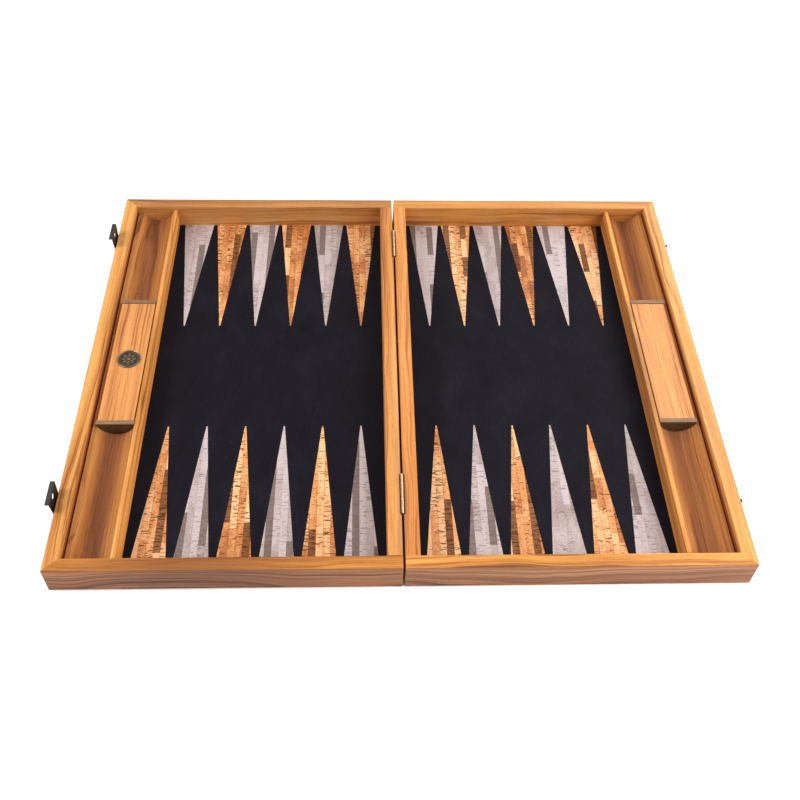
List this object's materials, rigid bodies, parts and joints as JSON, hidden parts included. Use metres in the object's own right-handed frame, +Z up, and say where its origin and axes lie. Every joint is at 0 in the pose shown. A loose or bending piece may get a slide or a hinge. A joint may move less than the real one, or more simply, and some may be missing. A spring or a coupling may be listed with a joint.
{
  "type": "backgammon set",
  "caption": "Folding wooden backgammon board with inlaid points, side checker racks, sliding half-round dice boxes with lift-off lids, butt hinges and hasp latches.",
  "frame": {"origin": "on the resting plane, in the middle of the fold between the two halves", "axes": "+X across the open board from the left half to the right half, +Y away from the player, +Z up"},
  "size_m": [0.609, 0.48, 0.042],
  "materials": {
    "frame_wood": "satin lacquered streaky walnut veneer, orange-tan with darker grain",
    "rack_wood": "satin lacquered walnut with reddish brown streaks",
    "lid_wood": "satin lacquered light walnut, fine straight grain",
    "end_wood": "satin dark brown wood",
    "base_board": "matte veneered board",
    "field": "matte black stained veneer with faint pores",
    "cork": "natural cork veneer in strips with dark flecks, satin",
    "grey_cork": "grey stained cork veneer in strips, satin",
    "brass": "satin brass",
    "dark_bronze": "dark antique bronze, semi-gloss",
    "antique_bronze": "antique bronze with brighter high spots",
    "dice_plastic": "glossy ivory plastic"
  },
  "bodies": {
    "right_half": {"right_front_rail": "frame_wood", "right_back_rail": "frame_wood", "right_outer_rail": "frame_wood", "right_hinge_rail": "frame_wood", "right_base_panel": "base_board", "right_field": "field", "right_cork_points": "cork", "right_grey_points": "grey_cork", "right_rack": "rack_wood", "right_hinge_leaves": "brass", "right_hinge_screws": "brass", "hinge_pins": "brass", "latch_keepers": "dark_bronze", "keeper_screws": "dark_bronze"},
    "left_half": {"left_front_rail": "frame_wood", "left_back_rail": "frame_wood", "left_outer_rail": "frame_wood", "left_hinge_rail": "frame_wood", "left_base_panel": "base_board", "left_field": "field", "left_cork_points": "cork", "left_grey_points": "grey_cork", "left_rack": "rack_wood", "left_hinge_leaves": "brass", "left_hinge_screws": "brass", "latch_plates": "dark_bronze", "latch_pins": "dark_bronze", "latch_screws": "dark_bronze"},
    "front_latch": {"front_hasp": "dark_bronze"},
    "back_latch": {"back_hasp": "dark_bronze"},
    "right_box": {"right_box_shell": "rack_wood", "right_box_ends": "end_wood", "right_dice": "dice_plastic"},
    "right_lid": {"right_box_lid": "lid_wood"},
    "left_box": {"left_box_shell": "rack_wood", "left_box_ends": "end_wood", "left_dice": "dice_plastic"},
    "left_lid": {"left_box_lid": "lid_wood", "medallion": "antique_bronze"}
  },
  "joints": [
    {"name": "board_fold", "type": "hinge", "parent": "right_half", "child": "left_half", "pos_m": [0, 0, 0.0301], "axis": [0, 1, 0], "range_deg": [0, 180]},
    {"name": "front_latch_swing", "type": "hinge", "parent": "left_half", "child": "front_latch", "pos_m": [-0.3013, -0.17, 0.023], "axis": [0, -1, 0], "range_deg": [0, 150]},
    {"name": "back_latch_swing", "type": "hinge", "parent": "left_half", "child": "back_latch", "pos_m": [-0.3013, 0.17, 0.023], "axis": [0, -1, 0], "range_deg": [0, 150]},
    {"name": "right_box_slide", "type": "slide", "parent": "right_half", "child": "right_box", "axis": [0, 1, 0], "range_m": [-0.144, 0.144]},
    {"name": "left_box_slide", "type": "slide", "parent": "left_half", "child": "left_box", "axis": [0, 1, 0], "range_m": [-0.144, 0.144]},
    {"name": "right_lid_lift", "type": "slide", "parent": "right_box", "child": "right_lid", "axis": [0, 0, -1], "range_m": [-0.04, 0]},
    {"name": "left_lid_lift", "type": "slide", "parent": "left_box", "child": "left_lid", "axis": [0, 0, -1], "range_m": [-0.04, 0]}
  ]
}
